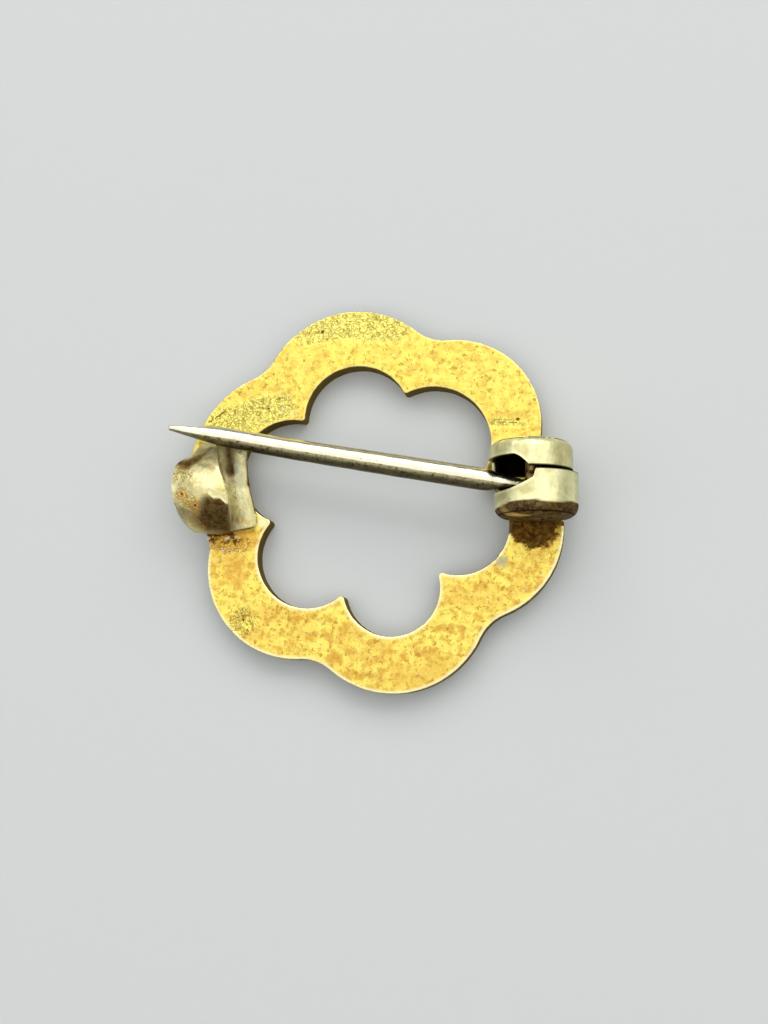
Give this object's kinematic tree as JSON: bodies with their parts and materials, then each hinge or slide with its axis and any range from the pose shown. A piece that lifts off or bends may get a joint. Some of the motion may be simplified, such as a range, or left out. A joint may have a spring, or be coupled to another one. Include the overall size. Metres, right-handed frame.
{
  "type": "lingerie pin",
  "caption": "Small open flower-shaped ring pin lying face down, with a drum joint of drawn cups, a curled catch and a long pointed stem hinged on its back.",
  "frame": {"origin": "centre of the flower ring on its front face, the face that the pin lies on", "axes": "+X from the catch to the joint, +Y along the rivet, +Z from the front face to the back, where the stem is"},
  "size_m": [0.0168, 0.0158, 0.0038],
  "materials": {
    "gilt_brass": "gilt, worn, with brown tarnish and stains",
    "stem_metal": "polished white metal with a thin yellow tarnish",
    "rivet_brass": "dull and tarnished"
  },
  "bodies": {
    "frame": {"soldered_frame": "gilt_brass", "rivet": "rivet_brass"},
    "stem": {"pin_stem": "stem_metal"}
  },
  "joints": [
    {"name": "pin_hinge", "type": "hinge", "parent": "frame", "child": "stem", "pos_m": [0.00656, 0.0002, 0.00212], "axis": [0, 1, 0], "range_deg": [0, 62]}
  ]
}
